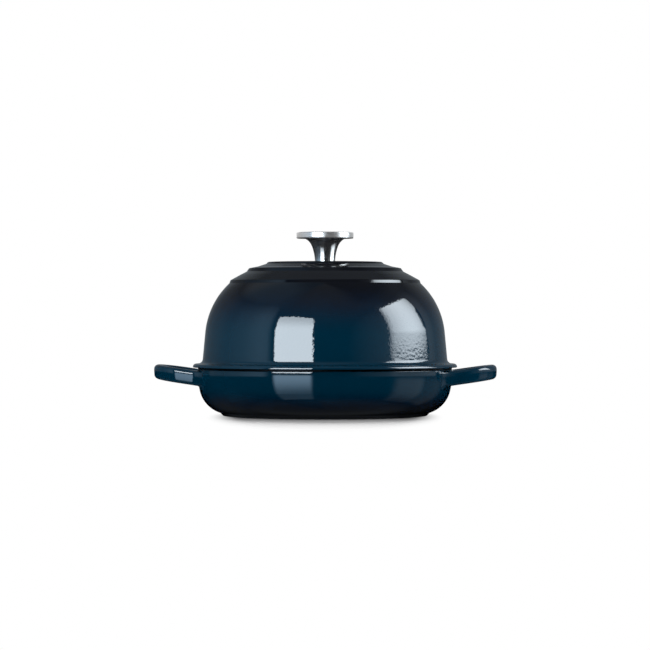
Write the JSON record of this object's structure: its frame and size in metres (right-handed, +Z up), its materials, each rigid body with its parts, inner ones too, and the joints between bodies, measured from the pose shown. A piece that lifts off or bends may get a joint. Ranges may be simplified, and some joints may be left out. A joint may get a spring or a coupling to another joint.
{
  "type": "bread cloche",
  "caption": "Enamelled cast iron bread cloche: a shallow dish with loop handles and a lift-off domed lid with terraced rings and a steel knob.",
  "frame": {"origin": "centre of the foot of the dish, on the surface it stands on", "axes": "+Z up, X along the line through the two handles, the pictured side faces -Y"},
  "size_m": [0.3432, 0.264, 0.1832],
  "materials": {
    "dish_enamel": "gloss enamel, deep teal shading to black at the foot, satin black inside",
    "lid_enamel": "gloss enamel, deep teal shading to black at the top, satin black inside",
    "knob_steel": "brushed disc and polished stem",
    "fastener_steel": "plain turned steel"
  },
  "bodies": {
    "dish": {"base_dish": "dish_enamel"},
    "lid": {"lid_dome": "lid_enamel", "lid_knob": "knob_steel", "knob_screw": "fastener_steel", "flat_washer": "fastener_steel", "spring_washer": "fastener_steel"}
  },
  "joints": [
    {"name": "lid_lift", "type": "slide", "parent": "dish", "child": "lid", "axis": [0, 0, 1], "range_m": [0, 0.2]}
  ]
}
